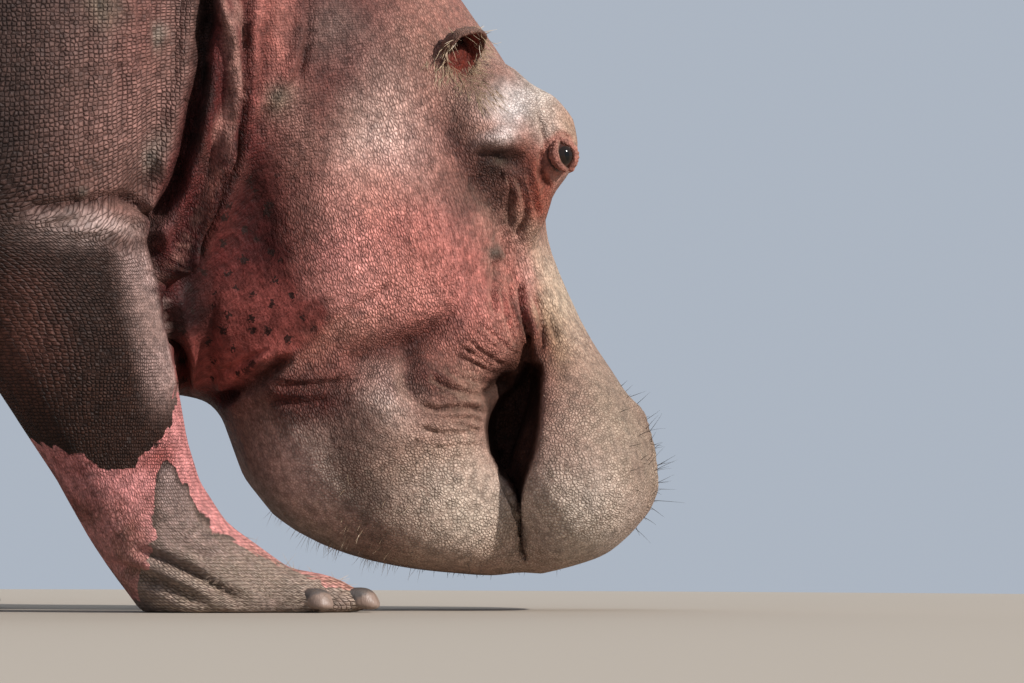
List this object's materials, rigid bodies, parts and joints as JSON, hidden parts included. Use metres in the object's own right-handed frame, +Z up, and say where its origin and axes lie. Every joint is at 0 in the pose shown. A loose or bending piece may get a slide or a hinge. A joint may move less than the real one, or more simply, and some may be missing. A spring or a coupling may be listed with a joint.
{
  "type": "hippopotamus",
  "caption": "Life-size hippopotamus, a still museum model: a heavy grazing animal walking with its head lowered to the ground and its mouth a little open at the corner.",
  "frame": {"origin": "on the floor, under the middle of the animal's length and width", "axes": "+X forwards, towards the nose; +Y to the animal's left; +Z up"},
  "size_m": [2.9706, 1.0436, 1.4468],
  "materials": {
    "skin": "dry, finely cracked bare skin, brown-grey with pink parts and pale dust",
    "eye": "wet dark brown",
    "nail": "worn horn",
    "bristle": "stiff dark bristles on lips, ears and tail"
  },
  "bodies": {
    "root": {"trunk": "skin", "head": "skin", "neck": "skin", "tail": "skin", "foreleg_right": "skin", "foreleg_left": "skin", "hindleg_right": "skin", "hindleg_left": "skin", "ear_right": "skin", "ear_left": "skin", "eye_right": "eye", "eye_left": "eye", "forefoot_right_nail_1": "nail", "forefoot_right_nail_2": "nail", "forefoot_right_nail_3": "nail", "forefoot_right_nail_4": "nail", "forefoot_left_nail_1": "nail", "forefoot_left_nail_2": "nail", "forefoot_left_nail_3": "nail", "forefoot_left_nail_4": "nail", "hindfoot_right_nail_1": "nail", "hindfoot_right_nail_2": "nail", "hindfoot_right_nail_3": "nail", "hindfoot_right_nail_4": "nail", "hindfoot_left_nail_1": "nail", "hindfoot_left_nail_2": "nail", "hindfoot_left_nail_3": "nail", "hindfoot_left_nail_4": "nail"}
  },
  "joints": []
}
